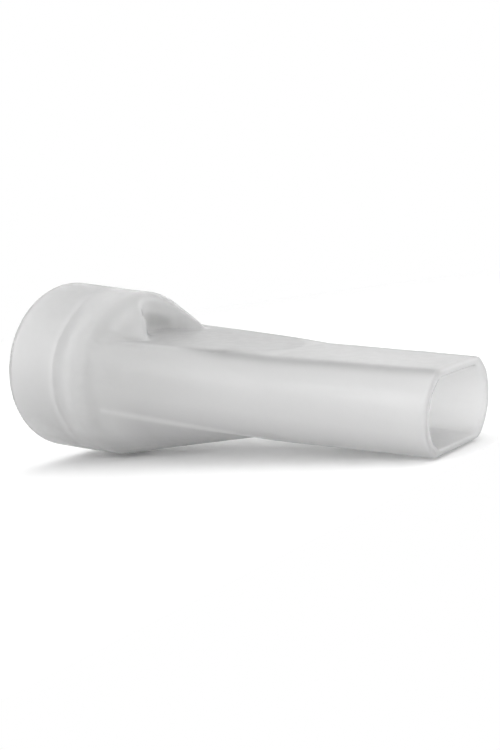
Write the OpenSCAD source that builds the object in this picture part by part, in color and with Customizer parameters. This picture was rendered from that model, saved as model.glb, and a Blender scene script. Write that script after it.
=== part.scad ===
// Mouth-held suction nozzle of a nasal aspirator.
// The object's axis is +X: the round socket opens at x = 0 and the flattened
// tube ends at the mouth. +Z is up, and the thumb flat is on the top.

/* [Socket cup] */
// Outer diameter of the cup where it meets the transition
cup_d = 28; // [24:0.5:36]
// Length of the cup's straight wall along its underside
cup_len = 15.5; // [13.5:0.5:22]
// Wall thickness of the cup around the socket
cup_wall = 1.4; // [1:0.1:2.4]
// Draft added to the cup's radius at its open end
cup_draft = 0.65; // [0:0.05:1]
// Radius of the rounded rim at the open end
rim_round = 0.6; // [0.2:0.1:1]
// Depth of the socket that the suction spigot goes into
socket_depth = 9.5; // [7:0.5:14]

/* [Transition] */
// Length of the transition from the round cup to the flattened tube
blend_len = 35; // [28:0.5:44]
// How much further forward the transition starts along its upper edges
top_delay = 2.3; // [1:0.1:5]
// Slope of the cup's upper shoulder, as radius lost per length
shoulder_slope = 0.45; // [0.3:0.01:0.7]
// Radius of the thumb flat's rounded back end
scoop_r = 4.5; // [3:0.1:6]
// Half width that the thumb flat's back end flares out to
scoop_flare = 7.6; // [6.5:0.1:9]

/* [Tube] */
// Overall length from the socket's open end to the mouth
total_len = 76; // [64:0.5:92]
// Height of the thumb flat above the axis
flat_z = 7.5; // [6:0.1:9]
// Height of the tube's top above the axis, at the mouth
mouth_top = 7.8; // [6:0.1:9]
// Crown of the tube's top at its root
crown = 0.35; // [0.1:0.05:1]
// Depth of the tube's flat bottom below the axis, at its root
root_bottom = 5; // [4:0.1:7]
// Depth of the tube's flat bottom below the axis, at the mouth
mouth_bottom = 3.9; // [3:0.1:6]
// Overall width of the tube at its root
root_w = 20.4; // [16:0.1:24]
// Overall width of the tube at the mouth
mouth_w = 18.6; // [15:0.1:23]
// Width of the flat on the tube's top and bottom, at its root
root_flat = 15; // [10:0.1:17]
// Width of the flat on the tube's top and bottom, at the mouth
mouth_flat = 12; // [9:0.1:14]
// Wall thickness of the transition and the tube
tube_wall = 1.2; // [0.8:0.1:2]

/* [Filter cartridge] */
// Radial clearance between the cartridge and its seat
cage_gap = 0.1; // [0.05:0.01:0.2]
// Length of the cartridge's seat
seat_len = 7.5; // [6.5:0.5:9]
// Width of the step that the cartridge's seat makes in the socket
seat_step = 0.5; // [0.3:0.1:0.8]
// Width of the ledge that stops the cartridge
ledge = 0.9; // [0.5:0.1:1.5]
// Wall thickness of the cage
cage_wall = 1.6; // [1.4:0.1:2]
// Thickness of the cage's grid and of its finger bar
grid_t = 0.9; // [0.6:0.1:1.4]
// Width of each bar in the grid
bar_w = 1.1; // [0.8:0.1:1.6]
// Number of bars across the grid each way
bars = 5; // [3:2:7]
// Thickness of the foam filter
filter_t = 2.4; // [1.5:0.1:3]
// Section of the snap ring that holds the foam
snap_t = 0.8; // [0.6:0.1:1.2]
// Radius of the round section of the seal ring
seal_r = 0.5; // [0.4:0.05:0.6]
// Radial clearance between the seal ring and its seat
seal_gap = 0.03; // [0.02:0.01:0.1]

/* [Hidden] */
$fn = 96;
// Small overlaps that keep neighbouring faces from lying on each other
lap = 0.4;
skin_step = 0.03;
cup_r = cup_d / 2;
tube_root = cup_len + blend_len;
top_start = cup_len + top_delay;
socket_r = cup_r - cup_wall;
seat_r = socket_r - seat_step;
throat_r = seat_r - ledge;
seat_end = socket_depth + seat_len;
cage_r = seat_r - cage_gap;
cage_len = seat_end - socket_depth;
cage_inner_r = cage_r - cage_wall;
groove_floor_r = seat_r - seal_gap - 2 * seal_r - seal_gap;
groove_w = seal_r * 2.3;
groove_x = socket_depth + 0.7 + groove_w / 2;
filter_x = seat_end - grid_t - filter_t;
filter_r = cage_inner_r - 0.05;
snap_x = filter_x - snap_t;
snap_gap_deg = 24;
scoop_x = top_start + 2 + scoop_r;
scoop_deg = 40;
scoop_open_x = scoop_x + 1.9;
shoulder_end = scoop_open_x + scoop_r;
// Angles on the cup where the tube's upper and lower edges fade out
upper_deg = 33;
lower_deg = -13;
// Points along the half section: top flat, side arc and bottom
top_n = 6;
side_n = 12;
low_n = 9;
blend_n = 12;

function mix(a, b, s) = a + (b - a) * s;

// Half of a round section, from its top to its bottom
function round_half(r) = [
    for (i = [0 : top_n]) let (a = mix(90, upper_deg, i / top_n)) r * [cos(a), sin(a)],
    for (i = [1 : side_n]) let (a = mix(upper_deg, lower_deg, i / side_n)) r * [cos(a), sin(a)],
    for (i = [1 : low_n]) let (a = mix(lower_deg, -90, i / low_n)) r * [cos(a), sin(a)]
];

// Half of a tube section: crowned top and flat bottom joined by a bowed side.
// half_w is to the side's widest point, flat is the half width of the flats.
function tube_half(half_w, flat, top, bottom, rise_mid) =
    let (edge = top - rise_mid,
         rise = (edge + bottom) / 2,
         mid = (edge - bottom) / 2,
         bow = half_w - flat,
         arc_r = (rise * rise + bow * bow) / (2 * bow),
         arc_deg = asin(min(1, rise / arc_r)))
    [
        for (i = [0 : top_n]) let (u = i / top_n) [flat * u, top - rise_mid * u * u],
        for (i = [1 : side_n]) let (a = arc_deg * (1 - 2 * i / side_n))
            [half_w - arc_r + arc_r * cos(a), mid + arc_r * sin(a)],
        for (i = [1 : low_n]) [flat * (1 - i / low_n), -bottom]
    ];

// Half section part way along the transition at x. The top stays round
// further forward than the underside does.
function blend_half(x, round, root, start) = [
    for (i = [0 : len(round) - 1])
        let (from = mix(top_start, start, min(1, max(0, i - top_n) / side_n)),
             s = max(0, (x - from) / (tube_root - from)))
        mix(round[i], root[i], s)
];

// A whole ring of points at x from a half section
function ring(x, half) = concat(
    [for (p = half) [x, p[0], p[1]]],
    [for (i = [len(half) - 2 : -1 : 1]) [x, -half[i][0], half[i][1]]]
);

// Point in the middle of a ring, between its top and its bottom
function ring_mid(r) = [r[0][0], 0, (r[0][2] + r[top_n + side_n + low_n][2]) / 2];

// Solid skin through rings with equal numbers of points, each end closed
// by a fan of triangles from the ring's middle
module skin(rings) {
    n = len(rings[0]);
    last = len(rings) - 1;
    first_mid = (last + 1) * n;
    last_mid = first_mid + 1;
    polyhedron(
        points = concat(
            [for (r = rings) each r],
            [ring_mid(rings[0]), ring_mid(rings[last])]
        ),
        faces = [
            for (i = [0 : n - 1]) let (j = (i + 1) % n) each concat(
                [[i, first_mid, j], [last * n + i, last * n + j, last_mid]],
                [for (k = [0 : last - 1]) [k * n + i, (k + 1) * n + j, (k + 1) * n + i]],
                [for (k = [0 : last - 1]) [k * n + i, k * n + j, (k + 1) * n + j]]
            )
        ]
    );
}

// Transition and tube, taken in by inset all round, from the round section
// of radius r at x = start to past the mouth by over
module blend_and_tube(start, r, inset, over) {
    round = round_half(r);
    root = tube_half(root_w / 2 - inset, root_flat / 2 - inset * 0.6,
                     flat_z - inset, root_bottom - inset, crown);
    mouth = tube_half(mouth_w / 2 - inset, mouth_flat / 2 - inset * 0.6,
                      mouth_top - inset, mouth_bottom - inset, skin_step);
    past = over / (total_len - tube_root);
    skin(concat(
        [for (k = [0 : blend_n - 1]) let (x = mix(start, tube_root, k / blend_n))
            ring(x, blend_half(x, round, root, start))],
        [ring(tube_root, root)],
        [ring(total_len + over, mix(root, mouth, 1 + past))]
    ));
}

// What the thumb flat cuts from the transition above height z, forward of x
module flat_trim(z, x) {
    far = 2 * cup_r;
    translate([x, -far, z]) cube([tube_root - x, 2 * far, far]);
}

// What the thumb flat's rounded back end cuts from the shoulder above
// height z; grow widens it all round
module scoop(z, grow) {
    far = 2 * cup_r;
    touch = 0.8 * (scoop_r + grow) * [-sin(scoop_deg), cos(scoop_deg)];
    translate([scoop_x, 0, z]) cylinder(r = scoop_r + grow, h = far);
    translate([0, 0, z]) linear_extrude(height = far) polygon([
        [scoop_x + touch[0], touch[1]],
        [scoop_open_x, scoop_flare + grow],
        [scoop_open_x, far],
        [scoop_open_x + far, far],
        [scoop_open_x + far, -far],
        [scoop_open_x, -far],
        [scoop_open_x, -scoop_flare - grow],
        [scoop_x + touch[0], -touch[1]]
    ]);
}

// Round shoulder that carries the cup's upper half on past the cup, down to
// height z; drop takes it in all round, and r caps its radius
module shoulder(from, z, drop, r) {
    far = 2 * cup_r;
    slope_start = top_start + max(0, cup_r - drop - r) / shoulder_slope;
    difference() {
        rotate([0, 90, 0]) rotate_extrude() polygon([
            [0, from],
            [r, from],
            [r, slope_start],
            [r - (shoulder_end - slope_start) * shoulder_slope, shoulder_end],
            [0, shoulder_end]
        ]);
        translate([from - far, -far, z - 2 * far]) cube([3 * far, 2 * far, 2 * far]);
    }
}

// Outside of the cup, with its rounded open rim
module cup_outside() {
    open_r = cup_r + cup_draft;
    rotate([0, 90, 0]) rotate_extrude()
        polygon(concat(
            [[0, 0]],
            [for (a = [0 : 15 : 90])
                [open_r - rim_round * (1 - sin(a)), rim_round * (1 - cos(a))]],
            [[cup_r, cup_len], [0, cup_len]]
        ));
}

module nozzle_shell() {
    inner_z = flat_z - tube_wall;
    color([0.86, 0.87, 0.88])
    difference() {
        union() {
            cup_outside();
            difference() {
                blend_and_tube(cup_len - lap, cup_r - skin_step, 0, 0);
                flat_trim(flat_z, cup_len - 2 * lap);
            }
            difference() {
                shoulder(cup_len - lap, flat_z - lap, 0, cup_r);
                scoop(flat_z - 2 * lap, 0);
            }
        }
        translate([-1, 0, 0]) rotate([0, 90, 0]) cylinder(r = socket_r, h = socket_depth + 1);
        rotate([0, 90, 0]) cylinder(r = seat_r, h = seat_end);
        difference() {
            blend_and_tube(seat_end - lap, throat_r, tube_wall, 1);
            flat_trim(inner_z, seat_end - 2 * lap);
        }
        difference() {
            shoulder(seat_end - lap, inner_z - lap, tube_wall, throat_r);
            scoop(inner_z - 2 * lap, tube_wall);
        }
    }
}

module filter_cage() {
    pitch = 2 * cage_inner_r / (bars + 1);
    color([0.93, 0.93, 0.92])
    difference() {
        union() {
            translate([socket_depth, 0, 0]) rotate([0, 90, 0]) difference() {
                cylinder(r = cage_r, h = cage_len);
                translate([0, 0, -1]) cylinder(r = cage_inner_r, h = cage_len + 2);
            }
            intersection() {
                translate([seat_end - grid_t, 0, 0]) rotate([0, 90, 0])
                    cylinder(r = cage_inner_r + cage_wall / 2, h = grid_t);
                for (i = [1 : bars]) let (at = -cage_inner_r + i * pitch) {
                    translate([seat_end - grid_t, at - bar_w / 2, -cage_r])
                        cube([grid_t, bar_w, 2 * cage_r]);
                    translate([seat_end - grid_t, -cage_r, at - bar_w / 2])
                        cube([grid_t, 2 * cage_r, bar_w]);
                }
            }
            translate([socket_depth, -bar_w, -cage_inner_r - cage_wall / 2])
                cube([grid_t, 2 * bar_w, 2 * cage_inner_r + cage_wall]);
        }
        translate([groove_x - groove_w / 2, 0, 0]) rotate([0, 90, 0]) difference() {
            cylinder(r = cage_r + 1, h = groove_w);
            translate([0, 0, -1]) cylinder(r = groove_floor_r, h = groove_w + 2);
        }
        translate([snap_x, 0, 0]) rotate([0, 90, 0])
            cylinder(r = cage_inner_r + snap_t / 2, h = snap_t);
    }
}

module foam_filter() {
    color([0.95, 0.95, 0.93])
    translate([filter_x, 0, 0]) rotate([0, 90, 0]) cylinder(r = filter_r, h = filter_t);
}

module snap_ring() {
    outer = cage_inner_r + snap_t / 2 - 0.05;
    color([0.9, 0.9, 0.9])
    translate([snap_x, 0, 0]) rotate([0, 90, 0]) difference() {
        cylinder(r = outer, h = snap_t - 0.1);
        translate([0, 0, -1]) cylinder(r = outer - 1.4 * snap_t, h = snap_t + 2);
        linear_extrude(height = 3 * snap_t, center = true)
            polygon([[0, 0], 2 * outer * [cos(snap_gap_deg / 2), sin(snap_gap_deg / 2)],
                     2 * outer * [cos(snap_gap_deg / 2), -sin(snap_gap_deg / 2)]]);
    }
}

module cage_seal() {
    color([0.8, 0.82, 0.84])
    translate([groove_x, 0, 0]) rotate([0, 90, 0]) rotate_extrude()
        translate([seat_r - seal_gap - seal_r, 0]) circle(r = seal_r, $fn = 32);
}

nozzle_shell();
filter_cage();
foam_filter();
snap_ring();
cage_seal();
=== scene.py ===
import math

import bmesh
import bpy
from mathutils import Matrix, Vector, noise


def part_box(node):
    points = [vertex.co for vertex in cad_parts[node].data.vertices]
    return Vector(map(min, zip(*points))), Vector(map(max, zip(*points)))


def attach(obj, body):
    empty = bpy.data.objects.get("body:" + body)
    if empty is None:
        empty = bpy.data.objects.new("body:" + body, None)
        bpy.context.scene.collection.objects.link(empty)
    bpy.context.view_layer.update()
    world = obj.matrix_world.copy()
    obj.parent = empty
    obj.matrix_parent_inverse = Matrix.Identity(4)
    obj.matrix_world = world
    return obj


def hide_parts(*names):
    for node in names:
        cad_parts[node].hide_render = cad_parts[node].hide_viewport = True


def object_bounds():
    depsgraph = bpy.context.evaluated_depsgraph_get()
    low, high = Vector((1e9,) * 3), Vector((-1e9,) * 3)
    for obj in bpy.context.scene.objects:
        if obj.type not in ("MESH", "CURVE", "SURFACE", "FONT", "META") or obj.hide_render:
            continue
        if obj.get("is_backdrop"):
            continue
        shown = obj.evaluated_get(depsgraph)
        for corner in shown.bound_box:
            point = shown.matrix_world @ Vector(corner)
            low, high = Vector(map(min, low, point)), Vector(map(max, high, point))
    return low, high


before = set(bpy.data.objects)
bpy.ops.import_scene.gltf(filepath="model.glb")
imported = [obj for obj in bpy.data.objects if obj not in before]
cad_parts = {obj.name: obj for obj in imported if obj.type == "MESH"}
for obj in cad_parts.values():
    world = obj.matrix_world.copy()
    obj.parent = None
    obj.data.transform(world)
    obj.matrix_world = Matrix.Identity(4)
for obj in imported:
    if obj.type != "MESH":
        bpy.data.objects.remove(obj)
lo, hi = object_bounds()

# ---------------------------------------------------------------- sizes
R = 0.014                 # radius of the cup
LENGTH = hi[0]            # the mouth's rim
CUP_LEN = 0.0155          # straight wall along the cup's underside
CUP_FOOT = -0.014         # lowest point of the cup where the transition starts
MOUTH_FOOT = -0.0039      # underside of the tube at the mouth
FLAT_Z = 0.0075           # height of the thumb flat
MOUTH_TOP = 0.0078        # top of the tube at the mouth
MOUTH_FLAT = 0.006        # half width of the mouth's flats
ROOT_FLAT = 0.0075        # half width of the flats at the tube's root
ROOT_FOOT = 0.005         # depth of the tube's underside at its root
SHOULDER_X = 0.0178       # where the cup's upper shoulder starts
SCOOP_X = 0.0243          # centre of the thumb flat's round nose
SCOOP_R = 0.0045
SCOOP_OPEN_X = 0.0262     # where the nose has flared out to its full width
SCOOP_FLARE = 0.0076
SHOULDER_SLOPE = 0.45     # how fast the shoulder's radius falls towards the mouth
FLAT_HALF = 0.0093        # half width of the thumb flat
FLAT_TIP = 0.0502         # the thumb flat's rounded tip
ROOT_X = 0.0505           # where the tube starts
VOXEL = 0.00036           # cell of the shell's remesh


def clamp(t):
    return min(1.0, max(0.0, t))


# ---------------------------------------------------------------- camera
def aim_camera():
    """A long lens from the near side of the mouth, rolled by about a degree."""
    az, el, roll = math.radians(38.63), math.radians(11.33), -0.021
    back = Vector((math.sin(az) * math.cos(el), -math.cos(az) * math.cos(el), math.sin(el)))
    right = Vector((math.cos(az), math.sin(az), 0))
    up = back.cross(right)
    x_axis = right * math.cos(roll) + up * math.sin(roll)
    y_axis = up * math.cos(roll) - right * math.sin(roll)
    target = Vector((2.909 * R, 0, 0.167 * R))
    place = target + back * (10.70 * R)
    cam = bpy.data.objects.new("camera", bpy.data.cameras.new("camera"))
    bpy.context.scene.collection.objects.link(cam)
    cam.data.lens = 46.65
    cam.data.clip_start = 0.005
    rot = Matrix((x_axis, y_axis, back)).transposed().to_4x4()
    cam.matrix_world = Matrix.Translation(place) @ rot
    bpy.context.scene.camera = cam


# ---------------------------------------------------------------- materials
def new_material(name, color, roughness):
    mat = bpy.data.materials.new(name)
    mat.use_nodes = True
    bsdf = mat.node_tree.nodes["Principled BSDF"]
    bsdf.inputs["Base Color"].default_value = (*color, 1)
    bsdf.inputs["Roughness"].default_value = roughness
    return mat, mat.node_tree, bsdf


def object_noise(tree, scale, detail=4.0, stretch=(1, 1, 1)):
    coord = tree.nodes.new("ShaderNodeTexCoord")
    mapping = tree.nodes.new("ShaderNodeMapping")
    mapping.inputs["Scale"].default_value = stretch
    tex = tree.nodes.new("ShaderNodeTexNoise")
    tex.inputs["Scale"].default_value = scale
    tex.inputs["Detail"].default_value = detail
    tree.links.new(coord.outputs["Object"], mapping.inputs["Vector"])
    tree.links.new(mapping.outputs["Vector"], tex.inputs["Vector"])
    return tex.outputs["Fac"]


def ramp(tree, fac, stops):
    node = tree.nodes.new("ShaderNodeValToRGB")
    elements = node.color_ramp.elements
    while len(elements) < len(stops):
        elements.new(0.5)
    for element, (pos, color) in zip(elements, stops):
        element.position = pos
        element.color = (*color, 1)
    tree.links.new(fac, node.inputs["Fac"])
    return node.outputs["Color"]


def spread(tree, fac, low, high):
    node = tree.nodes.new("ShaderNodeMapRange")
    node.inputs["From Min"].default_value = 0.3
    node.inputs["From Max"].default_value = 0.7
    node.inputs["To Min"].default_value = low
    node.inputs["To Max"].default_value = high
    tree.links.new(fac, node.inputs["Value"])
    return node.outputs["Result"]


def bump(tree, bsdf, fac, strength, distance):
    node = tree.nodes.new("ShaderNodeBump")
    node.inputs["Strength"].default_value = strength
    node.inputs["Distance"].default_value = distance
    tree.links.new(fac, node.inputs["Height"])
    tree.links.new(node.outputs["Normal"], bsdf.inputs["Normal"])


def frosted_plastic():
    """Natural polypropylene with a fine spark-eroded frost and faint flow clouds.
    The mesh attribute read below paints light and shade into the base colour: lighter for painted
    light, darker for painted shade."""
    mat, tree, bsdf = new_material("frosted_plastic", (0.84, 0.84, 0.84), 0.5)
    painted_light_shade = tree.nodes.new("ShaderNodeAttribute")
    painted_light_shade.attribute_name = "painted_light_shade"
    # painted light and shade: the attribute turns the base colour dark for painted shade and white
    # for painted highlights
    body = ramp(tree, painted_light_shade.outputs["Fac"], [(0.0, (0.46, 0.46, 0.46)), (0.5, (0.86, 0.86, 0.86)),
                                            (1.0, (1.0, 1.0, 1.0))])
    clouds = ramp(tree, object_noise(tree, 90, 3, (0.4, 1, 1)),
                  [(0.3, (0.965, 0.965, 0.965)), (0.7, (1.0, 1.0, 1.0))])
    mix = tree.nodes.new("ShaderNodeMix")
    mix.data_type = "RGBA"
    mix.blend_type = "MULTIPLY"
    mix.inputs["Factor"].default_value = 1.0
    tree.links.new(body, mix.inputs["A"])
    tree.links.new(clouds, mix.inputs["B"])
    tree.links.new(mix.outputs["Result"], bsdf.inputs["Base Color"])
    tree.links.new(spread(tree, object_noise(tree, 700, 4), 0.46, 0.58), bsdf.inputs["Roughness"])
    bump(tree, bsdf, object_noise(tree, 5200, 2), 0.12, 0.00003)
    bsdf.inputs["Transmission Weight"].default_value = 0.72
    bsdf.inputs["IOR"].default_value = 1.45
    bsdf.inputs["Coat Weight"].default_value = 0.35
    bsdf.inputs["Coat Roughness"].default_value = 0.25
    return mat


def satin_plastic(name, dark, light, clear):
    """Moulded plastic with a satin face; clear is the share of light let through."""
    mat, tree, bsdf = new_material(name, light, 0.38)
    bsdf.inputs["Transmission Weight"].default_value = clear
    tree.links.new(ramp(tree, object_noise(tree, 260, 4), [(0.3, dark), (0.7, light)]),
                   bsdf.inputs["Base Color"])
    tree.links.new(spread(tree, object_noise(tree, 1400, 3), 0.32, 0.46), bsdf.inputs["Roughness"])
    bump(tree, bsdf, object_noise(tree, 4200, 2), 0.15, 0.00003)
    return mat


def silicone():
    mat, tree, bsdf = new_material("seal_silicone", (0.82, 0.84, 0.86), 0.3)
    tree.links.new(ramp(tree, object_noise(tree, 300, 3),
                        [(0.3, (0.90, 0.91, 0.92)), (0.7, (0.96, 0.96, 0.97))]),
                   bsdf.inputs["Base Color"])
    tree.links.new(spread(tree, object_noise(tree, 2200, 3), 0.24, 0.4), bsdf.inputs["Roughness"])
    bump(tree, bsdf, object_noise(tree, 3600, 2), 0.1, 0.00002)
    bsdf.inputs["Transmission Weight"].default_value = 0.7
    bsdf.inputs["IOR"].default_value = 1.41
    return mat


def foam():
    """Open-cell foam: round cells with a matt skin, their pitted hearts painted darker as painted
    shade.
    """
    mat, tree, bsdf = new_material("filter_foam", (0.9, 0.9, 0.86), 0.95)
    coord = tree.nodes.new("ShaderNodeTexCoord")
    cells = tree.nodes.new("ShaderNodeTexVoronoi")
    cells.inputs["Scale"].default_value = 1500
    tree.links.new(coord.outputs["Object"], cells.inputs["Vector"])
    distance = cells.outputs["Distance"]
    # painted shade: darker towards each cell's pitted heart
    tree.links.new(ramp(tree, distance, [(0.08, (0.72, 0.72, 0.69)), (0.5, (0.98, 0.98, 0.96))]),
                   bsdf.inputs["Base Color"])
    tree.links.new(spread(tree, object_noise(tree, 500, 3), 0.86, 1.0), bsdf.inputs["Roughness"])
    bump(tree, bsdf, distance, 0.8, 0.0003)
    bsdf.inputs["Sheen Weight"].default_value = 0.2
    bsdf.inputs["Transmission Weight"].default_value = 0.5
    return mat


def set_material(obj, mat):
    if not obj.material_slots:
        obj.data.materials.append(mat)
    for slot in obj.material_slots:
        slot.material = mat


# ---------------------------------------------------------------- shell
def smoothing_weight(co):
    """How much a point of the shell is softened: most where the thumb flat and
    the shoulder blend into the transition, least at the cup's and the mouth's rims."""
    x, z = co.x / R, co.z / R
    upper = clamp((z - 0.30) / 0.2)
    blend = clamp((x - 1.0) / 0.3) * clamp((4.0 - x) / 0.6)
    beside = clamp((abs(co.y) / R - 0.5) / 0.1) * clamp((2.2 - x) / 0.4)
    return 0.2 + upper * blend * (0.35 + 0.45 * beside)


def moulded_shell():
    """The shell with the soft fillets of a moulding, made from the CAD walls."""
    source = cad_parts["nozzle_shell"]
    obj = bpy.data.objects.new("shell_moulded", source.data.copy())
    obj.data.materials.clear()
    bpy.context.scene.collection.objects.link(obj)
    bm = bmesh.new()
    bm.from_mesh(obj.data)
    bmesh.ops.remove_doubles(bm, verts=bm.verts, dist=1e-6)
    bm.to_mesh(obj.data)
    bm.free()
    remesh = obj.modifiers.new("remesh", "REMESH")
    remesh.mode = "VOXEL"
    remesh.voxel_size = VOXEL
    bake_modifiers(obj)
    group = obj.vertex_groups.new(name="soft")
    for v in obj.data.vertices:
        group.add([v.index], smoothing_weight(v.co), "REPLACE")
    first = obj.modifiers.new("settle", "SMOOTH")
    first.factor = 0.5
    first.iterations = 4
    second = obj.modifiers.new("soften", "SMOOTH")
    second.factor = 0.5
    second.iterations = 24
    second.vertex_group = "soft"
    bake_modifiers(obj)
    paint_light_and_shade(obj.data)
    for p in obj.data.polygons:
        p.use_smooth = True
    return obj


def bake_modifiers(obj):
    """Replaces the object's mesh with the result of its modifiers."""
    bpy.context.view_layer.update()
    evaluated = obj.evaluated_get(bpy.context.evaluated_depsgraph_get())
    mesh = bpy.data.meshes.new_from_object(evaluated)
    obj.modifiers.clear()
    old = obj.data
    obj.data = mesh
    bpy.data.meshes.remove(old)


def near_line(co, line, width):
    """1 on a polyline, falling to 0 at about twice the width away."""
    best = min((co - a.lerp(b, clamp((co - a).dot(b - a) / (b - a).length_squared))).length_squared
               for a, b in zip(line, line[1:]))
    return math.exp(-best / (width * width))


def mirrored(line):
    return [Vector((p.x, -p.y, p.z)) for p in line]


def lower_edge():
    """Where the tube's lower corner fades out on the cup's side."""
    a = Vector((0.0151, 0.01361, -0.00314))
    b = Vector((ROOT_X, ROOT_FLAT, -ROOT_FOOT))
    return [a.lerp(b, 0.16 + 0.84 * k / 8) for k in range(9)]


def upper_edge():
    """The tube's upper corner, from the thumb flat to the mouth."""
    a = Vector((0.034, 0.0094, FLAT_Z))
    b = Vector((ROOT_X, ROOT_FLAT, FLAT_Z - 0.0003))
    return [a, b, Vector((LENGTH, MOUTH_FLAT, MOUTH_TOP))]


def scoop_wall():
    """Half the plan of the thumb flat's back end: a round nose, then a flare."""
    nose = [(SCOOP_X - SCOOP_R * math.cos(math.radians(a)), SCOOP_R * math.sin(math.radians(a)))
            for a in range(0, 51, 10)]
    x, y = nose[-1]
    return nose + [(x + (SCOOP_OPEN_X - x) * t, y + (SCOOP_FLARE - y) * t) for t in (0.35, 0.7, 0.95)]


def scoop_edge():
    """Where the thumb flat's back end cuts the shoulder."""
    points = []
    for x, y in scoop_wall():
        r = R - SHOULDER_SLOPE * (x - SHOULDER_X)
        points.append(Vector((x, y, math.sqrt(max(FLAT_Z ** 2, r * r - y * y)))))
    return points


def flat_width(x):
    """Half width of the thumb flat at x, down to its rounded tip."""
    return FLAT_HALF * math.sqrt(clamp((FLAT_TIP - x) / 0.009))


def paint_light_and_shade(mesh):
    """Paints light and shade into the shell's colour; 0.5 is the plain wall. Painted highlights make
    it lighter where light leaves the wall at an edge, and painted light makes it lighter on the cup's
    upper half over the filter and inside the tube. Painted shade makes it darker in the socket, on
    the thumb flat, under the tube and along the tube's upper corners."""
    light = [lower_edge(), mirrored(lower_edge()), scoop_edge(), mirrored(scoop_edge())]
    shaded_corners = [upper_edge(), mirrored(upper_edge())]
    wall = [Vector((x, y, 0)) for x, y in scoop_wall()]
    painted_light_shade = mesh.attributes.new("painted_light_shade", "FLOAT", "POINT")
    values = []
    for v in mesh.vertices:
        co = v.co
        value = 0.5
        inner = v.normal.y * co.y + v.normal.z * co.z < 0
        # painted highlights: light lines along the tube's lower corner and the thumb flat's back edge
        if 0.017 < co.x < 0.052 and not inner:
            value += 0.5 * max(near_line(co, line, 0.00045) for line in light)
        # the wall behind the thumb flat, painted lighter where it faces the mouth: a painted
        # highlight
        if 0.019 < co.x < 0.027 and co.z > FLAT_Z + 0.0003 and abs(co.y) < 0.008:
            plan = Vector((co.x, abs(co.y), 0))
            value += 0.38 * near_line(plan, wall, 0.0009) * clamp(v.normal.x * 2)
        # the thumb flat, painted darker: painted shade
        if 0.0195 < co.x < 0.051 and co.z > FLAT_Z - 0.0003:
            inside = clamp((flat_width(co.x) - abs(co.y)) / 0.0005)
            value -= 0.15 * inside * clamp((FLAT_Z + 0.0006 - co.z) / 0.0004)
        # the tube's upper corners, painted darker in a band: painted shade
        if co.x > 0.034 and co.z > 0.004:
            fade = clamp((co.x - 0.034) / 0.008)
            value -= 0.42 * fade * max(near_line(co, line, 0.0010) for line in shaded_corners)
        # painted shade on the underside of the transition and the tube, darker towards the bottom
        if co.x > 0.022 and not inner:
            value -= 0.20 * clamp((-0.0005 - co.z) / 0.005) * clamp((co.x - 0.022) / 0.006)
        # painted light on the inside of the tube, lighter towards the mouth
        if inner and co.x > 0.035:
            value += 0.5 * clamp((co.x - 0.035) / 0.02)
        # painted shade in the socket, most on its lower half
        low = clamp((0.004 - co.z) / 0.010)
        value -= (0.18 + 0.16 * low) * clamp((0.0124 - co.x) / 0.0026)
        # painted light on the cup over the filter, on its upper half
        if 0.0115 < co.x < 0.0195:
            high = clamp((co.z + 0.004) / 0.008)
            over_filter = clamp((co.x - 0.0115) / 0.0015) * clamp((0.0195 - co.x) / 0.002)
            value += 0.20 * high * over_filter
        # painted highlights on the rims of the cup and the mouth
        value += 0.4 * clamp((0.0005 - co.x) / 0.0004)
        value += 0.2 * clamp((co.x - LENGTH + 0.0006) / 0.0005)
        values.append(value)
    painted_light_shade.data.foreach_set("value", values)


# ---------------------------------------------------------------- foam disc
def foam_disc():
    """A foam disc with pitted faces and a slightly ragged punched edge."""
    low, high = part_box("foam_filter")
    thick = high.x - low.x
    radius = (high.y - low.y) / 2
    bm = bmesh.new()
    around, rings = 96, 18
    layers = []
    for side in (0, 1):
        centre = bm.verts.new((low.x + thick * side, 0, 0))
        rows = []
        for k in range(1, rings + 1):
            r = radius * k / rings
            row = []
            for i in range(around):
                t = math.tau * i / around
                p = Vector((low.x + thick * side, r * math.cos(t), r * math.sin(t)))
                pit = 0.00018 * abs(noise.noise(p * 1400)) + 0.00006
                ragged = 1 - 0.006 * abs(noise.noise(p * 900)) if k == rings else 1
                p.x += pit if side == 0 else -pit
                row.append(bm.verts.new((p.x, p.y * ragged, p.z * ragged)))
            rows.append(row)
        layers.append((centre, rows))
    for side, (centre, rows) in enumerate(layers):
        for i in range(around):
            j = (i + 1) % around
            face = [centre, rows[0][i], rows[0][j]]
            bm.faces.new(face if side else face[::-1])
            for a, b in zip(rows, rows[1:]):
                face = [a[i], b[i], b[j], a[j]]
                bm.faces.new(face if side else face[::-1])
    back, front = layers[0][1][-1], layers[1][1][-1]
    for i in range(around):
        j = (i + 1) % around
        bm.faces.new([back[i], back[j], front[j], front[i]])
    bmesh.ops.recalc_face_normals(bm, faces=bm.faces)
    mesh = bpy.data.meshes.new("foam_pitted")
    bm.to_mesh(mesh)
    bm.free()
    obj = bpy.data.objects.new("foam_pitted", mesh)
    bpy.context.scene.collection.objects.link(obj)
    for p in mesh.polygons:
        p.use_smooth = True
    return obj


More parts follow.
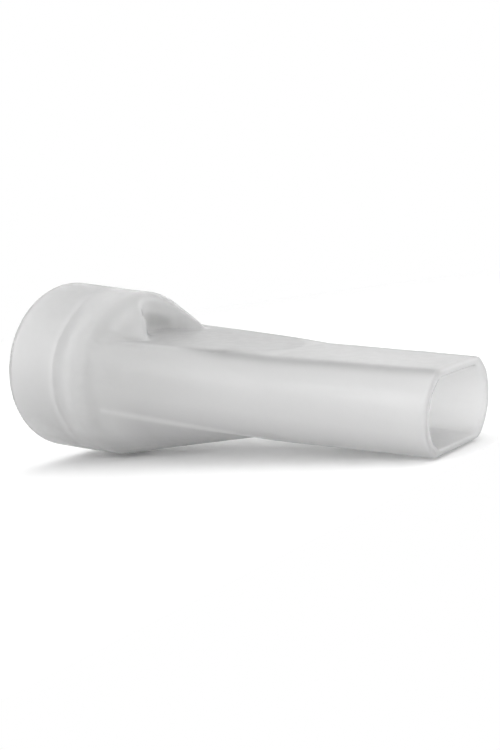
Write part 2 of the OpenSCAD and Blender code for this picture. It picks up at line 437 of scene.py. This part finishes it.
# ---------------------------------------------------------------- stage
def white_card():
    """The white card that the object lies on: it touches the cup's front foot and
    the mouth's lower edge, and ends just past the mouth."""
    slope = (MOUTH_FOOT - CUP_FOOT) / (LENGTH - CUP_LEN)
    clear = 0.00015
    far_x, near_x, half = LENGTH + 0.0035, -0.9, 0.9

    def height(x):
        return CUP_FOOT + slope * (x - CUP_LEN) - clear

    mesh = bpy.data.meshes.new("card")
    mesh.from_pydata([(near_x, -half, height(near_x)), (far_x, -half, height(far_x)),
                      (far_x, half, height(far_x)), (near_x, half, height(near_x))],
                     [], [(0, 1, 2, 3)])
    obj = bpy.data.objects.new("card", mesh)
    bpy.context.scene.collection.objects.link(obj)
    mat, tree, bsdf = new_material("card_white", (0.96, 0.96, 0.96), 0.9)
    tree.links.new(ramp(tree, object_noise(tree, 60, 3),
                        [(0.3, (0.985, 0.985, 0.985)), (0.7, (0.995, 0.995, 0.995))]),
                   bsdf.inputs["Base Color"])
    bsdf.inputs["Specular IOR Level"].default_value = 0.1
    set_material(obj, mat)
    obj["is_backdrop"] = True


def area_light(name, place, target, size, power):
    data = bpy.data.lights.new(name, "AREA")
    data.shape = "DISK"
    data.size = size
    data.energy = power
    obj = bpy.data.objects.new(name, data)
    bpy.context.scene.collection.objects.link(obj)
    obj.location = place
    obj.rotation_euler = (Vector(target) - Vector(place)).to_track_quat("-Z", "Y").to_euler()


def lights():
    world = bpy.data.worlds.new("studio")
    bpy.context.scene.world = world
    world.use_nodes = True
    world.node_tree.nodes["Background"].inputs["Color"].default_value = (1, 1, 1, 1)
    world.node_tree.nodes["Background"].inputs["Strength"].default_value = 1.0
    middle = (0.5 * LENGTH, 0, 0)
    area_light("top", (0.02, -0.02, 0.45), middle, 0.30, 0.30)
    area_light("side", (-0.10, -0.42, 0.18), middle, 0.25, 0.50)
    area_light("back", (0.22, 0.40, 0.12), middle, 0.30, 0.34)
    bpy.context.scene.view_settings.view_transform = "Standard"


# ---------------------------------------------------------------- build
aim_camera()
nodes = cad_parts

shell = moulded_shell()
set_material(shell, frosted_plastic())
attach(shell, "nozzle")
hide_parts("nozzle_shell")

foam_piece = foam_disc()
set_material(foam_piece, foam())
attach(foam_piece, "cartridge")
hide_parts("foam_filter")

CAGE_TONES = (0.93, 0.93, 0.92), (0.98, 0.98, 0.97)
RING_TONES = (0.92, 0.92, 0.92), (0.97, 0.97, 0.97)
set_material(nodes["filter_cage"], satin_plastic("cage_plastic", *CAGE_TONES, 0.7))
set_material(nodes["snap_ring"], satin_plastic("ring_plastic", *RING_TONES, 0.7))
set_material(nodes["cage_seal"], silicone())

white_card()
lights()

lo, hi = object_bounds()
